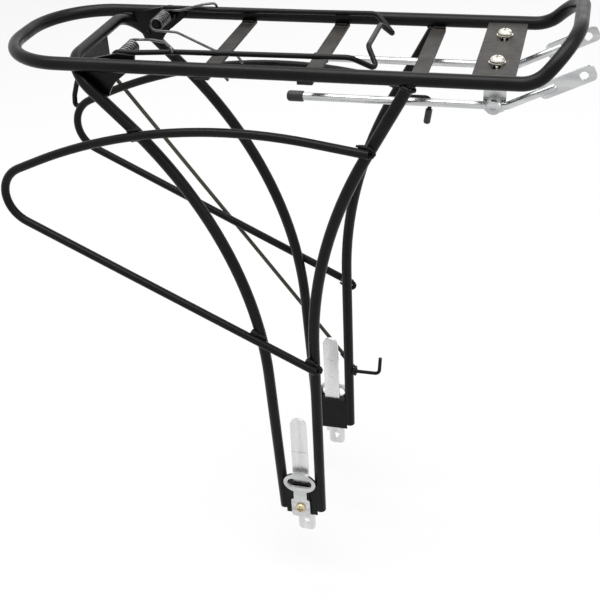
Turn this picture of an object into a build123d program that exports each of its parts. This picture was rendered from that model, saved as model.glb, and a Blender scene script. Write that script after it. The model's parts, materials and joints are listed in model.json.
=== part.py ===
from build123d import *
import os
from math import cos, hypot, pi, radians, sin, sqrt, tan

# Bicycle rear luggage carrier. Millimetres, +X to the bicycle's front, +Y to its left, +Z up.
# The origin is midway between the feet, on the common axis of the two eyelets in the foot tabs.

# Rods of the frame
RAIL_D = 9.0
LEG_D = 8.0
HOOP_D = 6.0
WELD_GAP = 0.05

# Platform hoop: a round rear end, and a nose with slanted arms whose two bends share the arm
RAIL_HALF = 55.0
RAIL_Z = 377.0
REAR_X = -199.5
REAR_BAR = 14.0
KICK_X = 157.6
NOSE_REACH = 22.2
NOSE_RISE = 24.3
NOSE_IN = 12.8
KICK_BEND_SHARE = 0.27
SLANT_SHARE = 0.98

# Legs, with each knee at the crossing of its two straight runs
REAR_CROSS_X = -145.2
REAR_CROSS_BEND_R = 23.0
REAR_KNEE_X = -27.2
REAR_KNEE_Z = 254.9
REAR_KNEE_SHARE = 0.783
REAR_FOOT_X = -17.0
FRONT_TOP_BACK = 0.3
FRONT_KNEE_X = 14.0
FRONT_KNEE_Z = 250.5
FRONT_KNEE_R = 320.0
FRONT_FOOT_X = 12.0
LEG_BOTTOM_Z = 14.0

# Side hoops, from the front leg back over the crown, round the rear bend and down to the front leg
HOOP_FRONT_DROP = 48.7
HOOP_CROWN_BACK = 138.2
HOOP_CROWN_RISE = 20.7
HOOP_CROWN_SHARE = 0.861
HOOP_REAR_BACK = 154.5
HOOP_REAR_DROP = 66.7
HOOP_REAR_R = 23.0
HOOP_LOWER_Z = 154.2
HOOP_LOWER_OVER = 2.5

# Cross strips under the rails
STRIP_FIRST_X = -51.5
STRIP_PITCH = 68.0
STRIP_W = 10.0
STRIP_T = 2.0
STRIP_OVERHANG = 1.0

# Front plate and its crosswise slots
PLATE_X = 131.5
PLATE_LENGTH = 26.0
PLATE_T = 2.5
PLATE_UP = 1.0
SLOT_Y = 25.0
SLOT_TRAVEL = 8.0
BOLT_D = 5.0
BOLT_CLEARANCE = 0.3

# Fasteners
HEAD_D = 9.5
HEAD_H = 3.4
WASHER_D = 10.5
WASHER_T = 1.0
NUT_FLATS = 8.0
NUT_H = 4.0
BOLT_TAIL = 2.0
HEAD_ROUND_SHARE = 0.8
NUT_ROUND_SHARE = 1.06
CUT_OVER = 1.0

# Stay brackets and anchors
SLIDE_GAP = 0.1
BRACKET_T = 2.0
BRACKET_LENGTH = 14.0
BRACKET_INNER = 6.0
BRACKET_NUT_GAP = 0.3
ANCHOR_DROP = 23.7
ANCHOR_D = 10.0
ANCHOR_LENGTH = 7.5
ANCHOR_WALL = 1.1
BRACKET_BELOW = 6.0
BRACKET_ROUND_SHARE = 0.6
ANCHOR_EDGE = 0.8
ANCHOR_DIMPLE_D = 3.2
ANCHOR_DIMPLE_DEPTH = 0.7

# Stays
STAY_D = 5.0
STAY_FIT = 0.1
STAY_BACK = 131.0
STAY_AHEAD = 7.5
STAY_RISE = 26.0
STAY_BEND_R = 10.0
STAY_ROD_END = 31.0
STAY_EYE = 50.3
STAY_TIP = 57.5
STAY_TAB_START = 22.0
STAY_TAB_W = 10.0
STAY_TAB_T = 2.0
STAY_TAB_R = 3.2
STAY_EYE_D = 5.5
CAP_D = 7.0
CAP_LENGTH = 10.7
CAP_WALL_END = 1.6
CAP_ROUND_SHARE = 0.3

# Clamp
PIVOT_X = -110.0
PIVOT_UP = 1.6
PIN_D = 5.0
PIN_FIT = 0.05
CLAMP_WIRE_D = 3.5
EYE_CLEARANCE = 0.15
EYE_SIDE_GAP = 1.0
CLAMP_EYE_RUN = 11.0
CLAMP_TAPER = 37.0
CLAMP_LENGTH = 153.0
CLAMP_RISE = 1.4
CLAMP_ARM_IN = 3.2
CLAMP_TIP_REACH = 15.0
CLAMP_TIP_IN = 11.0
CLAMP_TIP_DROP = 11.4
CLAMP_BAR_REACH = 7.0
CLAMP_BAR_IN = 10.5
CLAMP_BENDS = (30.0, 60.0, 8.0, 4.0, 6.0)

# Clamp springs
SPRING_WIRE_D = 1.8
SPRING_CLEARANCE = 0.5
SPRING_TURNS = 6
SPRING_PITCH = 3.1
SPRING_EYE_GAP = 3.2
SPRING_LEG_GAP = 0.3
SPRING_LEG_BEND = 12.0
SPRING_HOOK_BEND = 2.9
SPRING_HOOK_DROP = 5.0
SPRING_HOOK_REACH = 0.5
SPRING_HOOK_SPREAD = 0.6
SPRING_TURN_IN = 8.0
SPRING_TURN_IN_SHARE = 0.72
SPRING_LEAD = 1.8
SPRING_LOW_RUN = 16.0
SPRING_HIGH_RUN = 11.0
SPRING_TAIL_X = 4.0
SPRING_TAIL_DROP = 4.5
LEFT_LEG_LEAN = -26.0

# Gussets: upright plates with a rivet's head, their outline and rivet placed from the clamp's pivot
GUSSET_T = 2.0
GUSSET_BOSS_R = 5.0
GUSSET_LOW = (-21.0, -21.5)
GUSSET_HEEL = (-9.2, -24.2)
GUSSET_HOLLOW = (-3.3, -14.7)
GUSSET_STEP = (1.1, -11.2)
GUSSET_FRONT = (11.2, -3.4)
GUSSET_TIP = (12.5, 3.9)
GUSSET_HIGH = (-29.0, -1.6)
GUSSET_RIVET = (-19.0, -16.2)
RIVET_D = 5.4
RIVET_H = 1.6

# Lamp plate under the rear cross bar
LAMP_PLATE_RIGHT = 33.0
LAMP_PLATE_LEFT = 7.5
LAMP_PLATE_AHEAD = 3.5
LAMP_PLATE_DROP = 20.0
LAMP_PLATE_T = 2.0

# Feet
FOOT_X = -2.7
HOUSING_BOTTOM_Z = 10.0
HOUSING_TOP_Z = 40.0
HOUSING_T = 7.2
PAD_W = 14.0
PAD_H = 20.0
PAD_T = 0.8
SLIDER_W = 12.5
SLIDER_T = 3.0
SLIDER_FIT = 0.15
SLIDER_TOP_Z = 102.5
SLIDER_ROUND_SHARE = 0.47
SLIDER_STEP_Z = 71.0
SLIDER_STEP = 0.6
TAB_W = 13.0
TAB_TOP_Z = 8.0
TAB_BOTTOM_Z = -8.5
TAB_CORNER_R = 3.5
TAB_OVERLAP = 4.0
EYELET_D = 5.5
DIMPLE_D = 4.0
DIMPLE_DEPTH = 0.5
DIMPLE_Z = (64.4, 82.1)
SCREW_Z = 19.0
SCREW_HEAD_D = 8.0
SCREW_HEAD_H = 2.8
RECESS_W = 1.2
RECESS_L = 5.0
RECESS_DEPTH = 1.2

# Strap rings
RING_W = 25.6
RING_H = 19.0
RING_Z = 43.5
RING_HOLE_W = 19.5
RING_HOLE_H = 8.5
RING_NECK_W = 10.5
RING_BODY_W = 15.0
RING_BODY_BOTTOM_Z = 9.5
RING_BODY_TOP_Z = 27.0
RING_BODY_R = 2.0
RING_T = 2.0

# Pump hooks on the left front leg
HOOK_WIRE_D = 3.0
HOOK_BEND_R = 4.0
LOWER_HOOK_Z = 71.0
LOWER_HOOK_REACH = 26.0
LOWER_HOOK_TIP = (1.2, 16.0)
UPPER_HOOK_DROP = 56.5
UPPER_HOOK_REACH = 26.6
UPPER_HOOK_TIP = (-3.0, -18.5)
HOOK_TIP_D = 5.0
HOOK_TIP_LENGTH = 11.0
HOOK_TIP_END = 1.5
HOOK_TIP_ROUND_SHARE = 0.3

# Elastic cord on the outside of the left hoop, its top placed from the corner of the hoop's rear bend
CORD_D = 3.2
CORD_GAP = 0.95
CORD_TOP_AT = (62.9, 42.2)
CORD_LOW_BACK = 3.8
CORD_LOW_UP = 2.5
CRIMP_D = 5.0
CRIMP_LENGTH = 9.0
CRIMP_END = 1.5
CORD_HOOK_D = 4.0
CORD_HOOK_LEAD = 7.0
CORD_HOOK_TURNS = ((45.0, 45.7), (33.8, 32.5), (29.6, 20.5), (28.2, 8.8))
CORD_HOOK_TIP = (46.0, 21.0)
CORD_HOOK_BENDS = (3.5, 9.0, 12.0, 12.0, 2.6)
CORD_RING_R = 3.4
CORD_RING_WIRE = 2.0
CORD_RING_GAP = 0.6
CORD_RING_PLAY = 0.2
CORD_LUG_START = 0.5

RAIL_R = RAIL_D / 2
LEG_R = LEG_D / 2
HOOP_Y = RAIL_HALF + LEG_R + HOOP_D / 2 + WELD_GAP
INNER_Y = RAIL_HALF - max(RAIL_R, LEG_R) - WELD_GAP
PIVOT_Z = RAIL_Z + PIVOT_UP
EYE_R = PIN_D / 2 + EYE_CLEARANCE + CLAMP_WIRE_D / 2
EYE_Y = INNER_Y - GUSSET_T - EYE_SIDE_GAP - CLAMP_WIRE_D / 2
CLAMP_ARM_Y = EYE_Y - CLAMP_ARM_IN
CLAMP_TAPER_X = PIVOT_X + CLAMP_TAPER
SPRING_R = PIN_D / 2 + SPRING_CLEARANCE + SPRING_WIRE_D / 2
SPRING_LENGTH = (SPRING_TURNS + 0.5) * SPRING_PITCH
SPRING_OUTER_Y = EYE_Y - CLAMP_WIRE_D / 2 - SPRING_EYE_GAP
PLATE_TOP_Z = RAIL_Z + PLATE_UP
ANCHOR_Z = PLATE_TOP_Z - ANCHOR_DROP
STAY_REAR_X = PLATE_X - STAY_BACK
STAY_BEND_X = PLATE_X + STAY_AHEAD
LEAF_Y = SLOT_Y + NUT_FLATS / 2 + BRACKET_NUT_GAP
ANCHOR_Y = LEAF_Y + BRACKET_T + SLIDE_GAP
STAY_Y = ANCHOR_Y + ANCHOR_WALL + STAY_D / 2 + STAY_FIT
LEAF_TOP_Z = PLATE_TOP_Z - PLATE_T - SLIDE_GAP
STRIP_TOP_Z = RAIL_Z - RAIL_R - WELD_GAP
FRONT_TOP_X = STRIP_FIRST_X + 2 * STRIP_PITCH - FRONT_TOP_BACK
UPPER_HOOK_Z = RAIL_Z - UPPER_HOOK_DROP
RING_Y = RAIL_HALF + HOUSING_T / 2 + PAD_T + WELD_GAP
CORD_Y = HOOP_Y + HOOP_D / 2 + CORD_D / 2 + CORD_GAP


def leg_axis_x(foot_x, knee_x, knee_z, z):
    """X of a leg's lower straight run at a height."""
    return foot_x + (knee_x - foot_x) * (z - LEG_BOTTOM_Z) / (knee_z - LEG_BOTTOM_Z)


def front_leg_low_x(z):
    """X of the front leg's lower straight run at a height."""
    return leg_axis_x(FRONT_FOOT_X, FRONT_KNEE_X, FRONT_KNEE_Z, z)


def upper_leg_x(z):
    """X of the front leg's upper straight run at a height."""
    return FRONT_TOP_X + (FRONT_KNEE_X - FRONT_TOP_X) * (RAIL_Z - z) / (RAIL_Z - FRONT_KNEE_Z)


HOOP_FRONT_Z = RAIL_Z - HOOP_FRONT_DROP
HOOP_FRONT_X = upper_leg_x(HOOP_FRONT_Z)
HOOP_CROWN_X = HOOP_FRONT_X - HOOP_CROWN_BACK
HOOP_CROWN_Z = HOOP_FRONT_Z + HOOP_CROWN_RISE
HOOP_REAR_X = HOOP_CROWN_X - HOOP_REAR_BACK
HOOP_REAR_Z = HOOP_CROWN_Z - HOOP_REAR_DROP


def from_hoop_rear(place):
    """A point in the cord's plane, given from the corner of the hoop's rear bend."""
    return Vector(HOOP_REAR_X + place[0], CORD_Y, HOOP_REAR_Z + place[1])


CORD_TOP = from_hoop_rear(CORD_TOP_AT)
CORD_LOW = Vector(front_leg_low_x(LOWER_HOOK_Z) - CORD_LOW_BACK, CORD_Y, LOWER_HOOK_Z + CORD_LOW_UP)
CORD_DOWN = (CORD_LOW - CORD_TOP).normalized()


def half_turn(before, corner, after):
    """Half the angle by which a path turns at a corner."""
    arriving = Vector(*corner) - Vector(*before)
    leaving = Vector(*after) - Vector(*corner)
    return radians(arriving.get_angle(leaving)) / 2


def rod(points, radii, diameter):
    """A round rod along straight runs with bends of the given radii."""
    path = FilletPolyline(*points, radius=radii) if radii else Polyline(*points)
    section = Plane(path @ 0, z_dir=path % 0) * Circle(diameter / 2)
    return sweep(section, path=path)


def both_halves(half):
    """A shape and its mirror image across the middle plane, joined."""
    return half + mirror(half, about=Plane.XZ)


def bar_along_y(radius, x, z, y_from, y_to):
    """A round bar along Y."""
    low, high = min(y_from, y_to), max(y_from, y_to)
    return Pos(x, low, z) * Rot(-90, 0, 0) * Cylinder(
        radius, high - low, align=(Align.CENTER, Align.CENTER, Align.MIN)
    )


def block(x_range, y_range, z_range):
    """A box between two corners."""
    low = (min(x_range), min(y_range), min(z_range))
    size = (abs(x_range[1] - x_range[0]), abs(y_range[1] - y_range[0]), abs(z_range[1] - z_range[0]))
    return Pos(*low) * Box(*size, align=(Align.MIN, Align.MIN, Align.MIN))


def plate_in_xz(outline, y_from, y_to):
    """A plate with its outline given as lines in X and Z, between two Y values."""
    low = min(y_from, y_to)
    face = Plane((0, low, 0), x_dir=(1, 0, 0), z_dir=(0, -1, 0)) * make_face(outline)
    return extrude(face, amount=abs(y_to - y_from), dir=(0, 1, 0))


def platform_hoop():
    points = [
        (REAR_X, 0, RAIL_Z),
        (REAR_X, RAIL_HALF, RAIL_Z),
        (KICK_X, RAIL_HALF, RAIL_Z),
        (KICK_X + NOSE_REACH, RAIL_HALF - NOSE_IN, RAIL_Z + NOSE_RISE),
        (KICK_X + NOSE_REACH, 0, RAIL_Z + NOSE_RISE),
    ]
    slant = Vector(NOSE_REACH, NOSE_IN, NOSE_RISE).length
    kick_r = KICK_BEND_SHARE * slant / tan(half_turn(*points[1:4]))
    nose_r = (SLANT_SHARE - KICK_BEND_SHARE) * slant / tan(half_turn(*points[2:5]))
    return both_halves(rod(points, [RAIL_HALF - REAR_BAR / 2, kick_r, nose_r], RAIL_D))


def rear_cross_z():
    """Height of the rear cross bar at which its bends just meet the rails."""
    meeting = RAIL_R + LEG_R + WELD_GAP
    low, high = RAIL_Z - 2 * meeting, RAIL_Z
    for _ in range(40):
        middle = (low + high) / 2
        fall = (middle - REAR_KNEE_Z) / hypot(REAR_KNEE_X - REAR_CROSS_X, middle - REAR_KNEE_Z)
        nearest = min(
            hypot(
                REAR_CROSS_BEND_R * (1 - sin(radians(a))),
                RAIL_Z - middle + fall * REAR_CROSS_BEND_R * (1 - cos(radians(a))),
            )
            for a in range(0, 91)
        )
        low, high = (middle, high) if nearest > meeting else (low, middle)
    return low


def rear_leg_tube():
    cross_z = rear_cross_z()
    points = [
        (REAR_CROSS_X, 0, cross_z),
        (REAR_CROSS_X, RAIL_HALF, cross_z),
        (REAR_KNEE_X, RAIL_HALF, REAR_KNEE_Z),
        (REAR_FOOT_X, RAIL_HALF, LEG_BOTTOM_Z),
    ]
    run = (Vector(*points[2]) - Vector(*points[1])).length - REAR_CROSS_BEND_R
    knee_r = REAR_KNEE_SHARE * run / tan(half_turn(*points[1:4]))
    return both_halves(rod(points, [REAR_CROSS_BEND_R, knee_r], LEG_D))


def front_leg(side):
    y = side * RAIL_HALF
    points = [
        (FRONT_TOP_X, y, RAIL_Z),
        (FRONT_KNEE_X, y, FRONT_KNEE_Z),
        (FRONT_FOOT_X, y, LEG_BOTTOM_Z),
    ]
    leg = rod(points, [FRONT_KNEE_R], LEG_D)
    reach = 4 * LEG_D
    ends = [(FRONT_TOP_X - reach, y, RAIL_Z), (FRONT_TOP_X + reach, y, RAIL_Z)]
    rail = rod(ends, [], RAIL_D + 2 * WELD_GAP)
    return leg - rail


def side_hoop(side):
    y = side * HOOP_Y
    points = [
        (HOOP_FRONT_X, y, HOOP_FRONT_Z),
        (HOOP_CROWN_X, y, HOOP_CROWN_Z),
        (HOOP_REAR_X, y, HOOP_REAR_Z),
        (front_leg_low_x(HOOP_LOWER_Z) + HOOP_LOWER_OVER, y, HOOP_LOWER_Z),
    ]
    run = (Vector(*points[2]) - Vector(*points[1])).length - HOOP_REAR_R * tan(half_turn(*points[1:4]))
    crown_r = HOOP_CROWN_SHARE * run / tan(half_turn(*points[0:3]))
    return rod(points, [crown_r, HOOP_REAR_R], HOOP_D)


def cross_strip(index):
    """A strip under the rails; the front one ends between the front legs."""
    x = STRIP_FIRST_X + index * STRIP_PITCH
    half = INNER_Y if index == 2 else RAIL_HALF + STRIP_OVERHANG
    return block(
        (x - STRIP_W / 2, x + STRIP_W / 2), (-half, half), (STRIP_TOP_Z - STRIP_T, STRIP_TOP_Z)
    )


def front_plate():
    half = PLATE_LENGTH / 2
    plate = block(
        (PLATE_X - half, PLATE_X + half), (-INNER_Y, INNER_Y), (PLATE_TOP_Z - PLATE_T, PLATE_TOP_Z)
    )
    width = BOLT_D + 2 * BOLT_CLEARANCE
    slot = SlotOverall(2 * SLOT_TRAVEL + width, width, rotation=90)
    for side in (-1, 1):
        cutter = extrude(Pos(PLATE_X, side * SLOT_Y, PLATE_TOP_Z - 2 * PLATE_T) * slot, amount=3 * PLATE_T)
        plate = plate - cutter
    return plate


def gusset(side, rear_leg):
    outer = side * INNER_Y
    inner = side * (INNER_Y - GUSSET_T)

    def place(point):
        return (PIVOT_X + point[0], PIVOT_Z + point[1])

    step = place(GUSSET_STEP)
    heel = place(GUSSET_HEEL)
    low = place(GUSSET_LOW)
    lines = [
        Line(low, heel),
        ThreePointArc(heel, place(GUSSET_HOLLOW), step),
        Polyline(
            step, place(GUSSET_FRONT), place(GUSSET_TIP), place((0, GUSSET_BOSS_R)), place(GUSSET_HIGH), low
        ),
    ]
    web = plate_in_xz(lines, outer, inner)
    rivet_x, rivet_z = place(GUSSET_RIVET)
    rivet = Pos(rivet_x, inner, rivet_z) * Rot(90 * side, 0, 0) * pan_head(RIVET_D, RIVET_H)
    hole_r = PIN_D / 2 + PIN_FIT
    hole = bar_along_y(hole_r, PIVOT_X, PIVOT_Z, outer + side * CUT_OVER, inner - side * CUT_OVER)
    plate = web + rivet - hole - rear_leg
    return plate.solids().sort_by(SortBy.VOLUME)[-1]


def lamp_plate(rear_leg):
    """An upright plate under the rear cross bar."""
    front = REAR_CROSS_X + LAMP_PLATE_AHEAD
    top = rear_cross_z()
    plate = block(
        (front - LAMP_PLATE_T, front), (-LAMP_PLATE_RIGHT, LAMP_PLATE_LEFT), (top - LAMP_PLATE_DROP, top)
    )
    return (plate - rear_leg).solids().sort_by(SortBy.VOLUME)[-1]


def pivot_pin(side):
    """A plain pin that ends within the spring's last turn."""
    return bar_along_y(
        PIN_D / 2, PIVOT_X, PIVOT_Z, side * INNER_Y, side * (SPRING_OUTER_Y - SPRING_LENGTH)
    )


def clamp_frame():
    """Bent wire: open eyes round the pins, straight arms, a loop that dips at each front corner."""
    arm_z = PIVOT_Z + EYE_R
    front_z = arm_z + CLAMP_RISE
    front_x = PIVOT_X + CLAMP_LENGTH
    bar_x = front_x + CLAMP_BAR_REACH
    tip_y = CLAMP_ARM_Y - CLAMP_TIP_IN
    points = [
        (PIVOT_X, EYE_Y, arm_z),
        (PIVOT_X + CLAMP_EYE_RUN, EYE_Y, arm_z),
        (CLAMP_TAPER_X, CLAMP_ARM_Y, arm_z + CLAMP_RISE * CLAMP_TAPER / CLAMP_LENGTH),
        (front_x, CLAMP_ARM_Y, front_z),
        (front_x + CLAMP_TIP_REACH, tip_y, front_z - CLAMP_TIP_DROP),
        (bar_x, tip_y - CLAMP_BAR_IN, front_z),
        (bar_x, 0, front_z),
    ]
    eye = ThreePointArc(
        (PIVOT_X + EYE_R, EYE_Y, PIVOT_Z),
        (PIVOT_X - EYE_R * sqrt(0.5), EYE_Y, PIVOT_Z - EYE_R * sqrt(0.5)),
        (PIVOT_X, EYE_Y, PIVOT_Z + EYE_R),
    )
    arm = FilletPolyline(*points, radius=list(CLAMP_BENDS))
    path = Wire(Curve() + [eye, arm])
    section = Plane(path @ 0, z_dir=path % 0) * Circle(CLAMP_WIRE_D / 2)
    return both_halves(sweep(section, path=path))


def biarc(start, start_dir, end, end_dir):
    """Two arcs that leave start and reach end along the given directions."""
    across = end - start
    both = start_dir + end_dir
    spread = 2 * (1 - start_dir.dot(end_dir))
    along = across.dot(both)
    reach = (sqrt(along * along + spread * across.dot(across)) - along) / spread
    joint = (start + end + (start_dir - end_dir) * reach) * 0.5
    first = TangentArc(start, joint, tangent=start_dir)
    return [first, TangentArc(joint, end, tangent=first % 1)]


def coil_edges(y_start):
    """Spring turns about the pivot from the bottom of the pin to its top, as quarter turns."""
    quarters = 4 * SPRING_TURNS + 2
    step = SPRING_PITCH / 4
    slope = SPRING_PITCH / (2 * pi * SPRING_R)

    def place(i):
        turn = i * pi / 2
        return Vector(PIVOT_X - SPRING_R * sin(turn), y_start + i * step, PIVOT_Z - SPRING_R * cos(turn))

    def heading(i):
        turn = i * pi / 2
        return Vector(-cos(turn), slope, sin(turn)).normalized()

    edges = []
    for i in range(quarters):
        edges += biarc(place(i), heading(i), place(i + 1), heading(i + 1))
    return edges, place(0), heading(0), place(quarters), heading(quarters)


def clamp_spring(side):
    """Torsion spring: one leg under the rear strip, the turns, one leg over the clamp's arm."""
    y_start = -SPRING_OUTER_Y if side < 0 else SPRING_OUTER_Y - SPRING_LENGTH
    edges, first, first_dir, last, last_dir = coil_edges(y_start)
    wire_r = SPRING_WIRE_D / 2
    strip_rear = STRIP_FIRST_X - STRIP_W / 2
    strip_front = STRIP_FIRST_X + STRIP_W / 2
    under = STRIP_TOP_Z - STRIP_T - wire_r - SPRING_LEG_GAP
    lean = 0.0 if side < 0 else LEFT_LEG_LEAN

    def low_point(x, z):
        return (x, first.Y + lean * (x - first.X) / (strip_front - first.X), z)

    low_leg = [
        low_point(strip_front + 2 * SPRING_TAIL_X, under - SPRING_TAIL_DROP),
        low_point(strip_front + SPRING_TAIL_X, under),
        low_point(strip_rear - SPRING_TAIL_X, under),
        first - first_dir * SPRING_LOW_RUN,
        first - first_dir * SPRING_LEAD,
    ]
    arm_side = side * CLAMP_ARM_Y
    over = PIVOT_Z + EYE_R + CLAMP_RISE + CLAMP_WIRE_D / 2 + wire_r + SPRING_LEG_GAP
    hook_x = CLAMP_TAPER_X
    beyond = arm_side + side * (CLAMP_WIRE_D / 2 + wire_r + SPRING_LEG_GAP + SPRING_HOOK_SPREAD)
    high_leg = [
        last + last_dir * SPRING_LEAD,
        last + last_dir * SPRING_HIGH_RUN,
        (hook_x - SPRING_TURN_IN, last.Y + SPRING_TURN_IN_SHARE * (arm_side - last.Y), over),
        (hook_x, beyond, over),
        (hook_x + SPRING_HOOK_REACH, beyond + side * SPRING_HOOK_SPREAD / 2, over - SPRING_HOOK_DROP),
    ]
    lead_in = Line(first - first_dir * SPRING_LEAD, first)
    lead_out = Line(last, last + last_dir * SPRING_LEAD)
    low_bends = [SPRING_HOOK_BEND, SPRING_LEG_BEND, SPRING_LEG_BEND]
    high_bends = [SPRING_LEG_BEND, SPRING_HOOK_BEND, SPRING_HOOK_BEND]
    pieces = [FilletPolyline(*low_leg, radius=low_bends)]
    pieces += [lead_in, *edges, lead_out]
    pieces += [FilletPolyline(*high_leg, radius=high_bends)]
    path = Wire(Curve() + pieces)
    print(f"{'right' if side < 0 else 'left'} clamp spring least gap {least_self_gap(path):.2f} mm")
    section = Plane(path @ 0, z_dir=path % 0) * Circle(wire_r)
    return sweep(section, path=path)


def least_self_gap(path):
    """Least clear distance between turns of the spring, measured on points along its middle line."""
    step = SPRING_WIRE_D / 4
    count = int(path.length / step)
    points = [path @ (i / count) for i in range(count + 1)]
    apart = int(pi * SPRING_R / step)
    reach = int(4 * pi * SPRING_R / step)
    nearest = min(
        (points[i] - points[j]).length
        for i in range(count + 1)
        for j in range(i + apart, min(i + reach, count + 1))
    )
    return nearest - SPRING_WIRE_D


def hex_nut(flats, height, bore):
    """A nut on Z from z = 0, with its flats across X."""
    outline = RegularPolygon(flats / 2, 6, major_radius=False, rotation=30)
    nut = extrude(outline, amount=height)
    cone = Pos(0, 0, height / 2) * Sphere(hypot(flats / 2 * NUT_ROUND_SHARE, height / 2))
    return (nut & cone) - Cylinder(bore / 2, 4 * height)


def pan_head(diameter, height):
    """A domed head on Z from z = 0."""
    head = Cylinder(diameter / 2, height, align=(Align.CENTER, Align.CENTER, Align.MIN))
    return fillet(head.edges().group_by(Axis.Z)[-1], height * HEAD_ROUND_SHARE)


def cross_recess(top_z):
    arms = Box(RECESS_L, RECESS_W, 2 * RECESS_DEPTH) + Box(RECESS_W, RECESS_L, 2 * RECESS_DEPTH)
    return Pos(0, 0, top_z) * arms


def plate_bolt(side):
    head = pan_head(HEAD_D, HEAD_H) - cross_recess(HEAD_H)
    below = SLIDE_GAP + WASHER_T + PLATE_T + SLIDE_GAP + BRACKET_T + NUT_H + BOLT_TAIL
    shank = Cylinder(BOLT_D / 2, below, align=(Align.CENTER, Align.CENTER, Align.MAX))
    return Pos(PLATE_X, side * SLOT_Y, PLATE_TOP_Z + SLIDE_GAP + WASHER_T) * (head + shank)


def washer(bore):
    ring = Cylinder(WASHER_D / 2, WASHER_T, align=(Align.CENTER, Align.CENTER, Align.MIN))
    return ring - Cylinder(bore / 2, 4 * WASHER_T)


def plate_washer(side):
    return Pos(PLATE_X, side * SLOT_Y, PLATE_TOP_Z + SLIDE_GAP) * washer(BOLT_D + 2 * WELD_GAP)


def plate_nut(side):
    nut = hex_nut(NUT_FLATS, NUT_H, BOLT_D + 2 * WELD_GAP)
    return Pos(PLATE_X, side * SLOT_Y, LEAF_TOP_Z - BRACKET_T - NUT_H) * Rot(0, 0, 90) * nut


def stay_bracket(side):
    half = BRACKET_LENGTH / 2
    x_range = (PLATE_X - half, PLATE_X + half)
    top_leaf = block(
        x_range,
        (side * (SLOT_Y - BRACKET_INNER), side * (LEAF_Y + BRACKET_T)),
        (LEAF_TOP_Z - BRACKET_T, LEAF_TOP_Z),
    )
    side_leaf = block(
        x_range, (side * LEAF_Y, side * (LEAF_Y + BRACKET_T)), (ANCHOR_Z - BRACKET_BELOW, LEAF_TOP_Z)
    )
    bracket = top_leaf + side_leaf
    corner = bracket.edges().filter_by(Axis.X).group_by(Axis.Z)[-1].sort_by(Axis.Y)[-1 if side > 0 else 0]
    bracket = fillet(corner, BRACKET_T)
    bottom = bracket.edges().filter_by(Axis.Y).group_by(Axis.Z)[0]
    bracket = fillet(bottom, BRACKET_BELOW * BRACKET_ROUND_SHARE)
    bolt_hole = Pos(PLATE_X, side * SLOT_Y, LEAF_TOP_Z) * Cylinder(BOLT_D / 2 + WELD_GAP, 4 * BRACKET_T)
    anchor_hole = bar_along_y(
        BOLT_D / 2 + STAY_FIT, PLATE_X, ANCHOR_Z, side * (LEAF_Y - CUT_OVER), side * (ANCHOR_Y + CUT_OVER)
    )
    return bracket - bolt_hole - anchor_hole


def stay_anchor(side):
    end_y = ANCHOR_Y + ANCHOR_LENGTH
    body = bar_along_y(ANCHOR_D / 2, PLATE_X, ANCHOR_Z, side * ANCHOR_Y, side * end_y)
    rim = body.edges().filter_by(GeomType.CIRCLE).sort_by(Axis.Y)[-1 if side > 0 else 0]
    body = chamfer(rim, ANCHOR_EDGE)
    shank_y = LEAF_Y - WASHER_T - NUT_H - BOLT_TAIL / 2
    shank = bar_along_y(BOLT_D / 2, PLATE_X, ANCHOR_Z, side * ANCHOR_Y, side * shank_y)
    dimple = bar_along_y(
        ANCHOR_DIMPLE_D / 2,
        PLATE_X,
        ANCHOR_Z,
        side * (end_y - ANCHOR_DIMPLE_DEPTH),
        side * (end_y + CUT_OVER),
    )
    bore = Cylinder(STAY_D / 2 + STAY_FIT, 2 * ANCHOR_D)
    bore = Pos(PLATE_X, side * STAY_Y, ANCHOR_Z) * Rot(0, 90, 0) * bore
    return body + shank - dimple - bore


def anchor_washer(side):
    ring = washer(BOLT_D + 2 * WELD_GAP)
    return Pos(PLATE_X, side * (LEAF_Y - SLIDE_GAP), ANCHOR_Z) * Rot(90 * side, 0, 0) * ring


def anchor_nut(side):
    nut = hex_nut(NUT_FLATS, NUT_H, BOLT_D + 2 * WELD_GAP)
    return Pos(PLATE_X, side * (LEAF_Y - SLIDE_GAP - WASHER_T), ANCHOR_Z) * Rot(90 * side, 0, 0) * nut


def on_rise(distance):
    """A point on the stay's raised front run, measured from its bend."""
    return (
        STAY_BEND_X + distance * cos(radians(STAY_RISE)),
        ANCHOR_Z + distance * sin(radians(STAY_RISE)),
    )


def stay(side):
    y = side * STAY_Y
    end_x, end_z = on_rise(STAY_ROD_END)
    points = [(STAY_REAR_X, y, ANCHOR_Z), (STAY_BEND_X, y, ANCHOR_Z), (end_x, y, end_z)]
    shaft = rod(points, [STAY_BEND_R], STAY_D) + Pos(end_x, y, end_z) * Sphere(STAY_D / 2)
    eye_x, eye_z = on_rise(STAY_EYE)
    middle = (STAY_TAB_START + STAY_TIP) / 2
    middle_x, middle_z = on_rise(middle)
    outline = RectangleRounded(STAY_TIP - STAY_TAB_START, STAY_TAB_W, STAY_TAB_R)
    face = Plane((middle_x, y - STAY_TAB_T / 2, middle_z), x_dir=(1, 0, 0), z_dir=(0, -1, 0)) * (
        Rot(0, 0, STAY_RISE) * outline
    )
    tab = extrude(face, amount=STAY_TAB_T, dir=(0, 1, 0))
    eye = bar_along_y(STAY_EYE_D / 2, eye_x, eye_z, y - STAY_TAB_T, y + STAY_TAB_T)
    return shaft + tab - eye


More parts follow.
